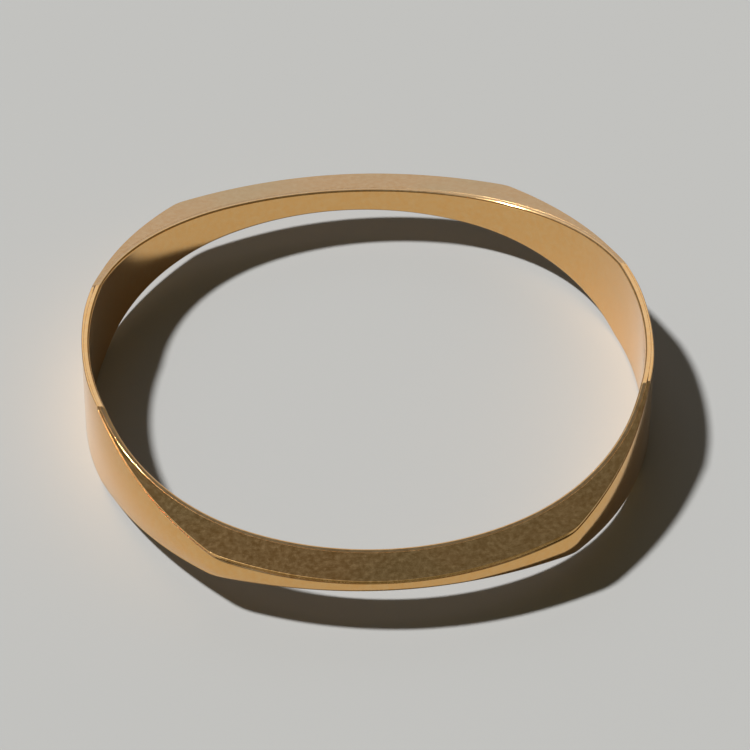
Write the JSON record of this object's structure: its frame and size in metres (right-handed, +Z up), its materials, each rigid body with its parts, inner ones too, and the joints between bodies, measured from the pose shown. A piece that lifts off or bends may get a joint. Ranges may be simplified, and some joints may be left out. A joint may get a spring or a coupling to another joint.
{
  "type": "bangle bracelet",
  "caption": "Rigid closed slip-on bangle with a soft-square opening, thin tall sides, four softly bent upright corners and flat facets sloping away to a thick low front and back.",
  "frame": {"origin": "centre of the bounding box's bottom, on the plane the bangle rests on", "axes": "+Z up through the wrist opening, -Y the front, +Y the back (longest extent), +X the right side"},
  "size_m": [0.063, 0.07, 0.0107],
  "materials": {
    "band_gold": "mirror polished",
    "wall_gold": "mirror polished",
    "plate_gold": "polished, finely scratched"
  },
  "bodies": {
    "root": {"inner_band": "band_gold", "front_wall": "wall_gold", "back_wall": "wall_gold", "left_wall": "wall_gold", "right_wall": "wall_gold", "top_front_plate": "plate_gold", "top_back_plate": "plate_gold", "bottom_front_plate": "plate_gold", "bottom_back_plate": "plate_gold"}
  },
  "joints": []
}
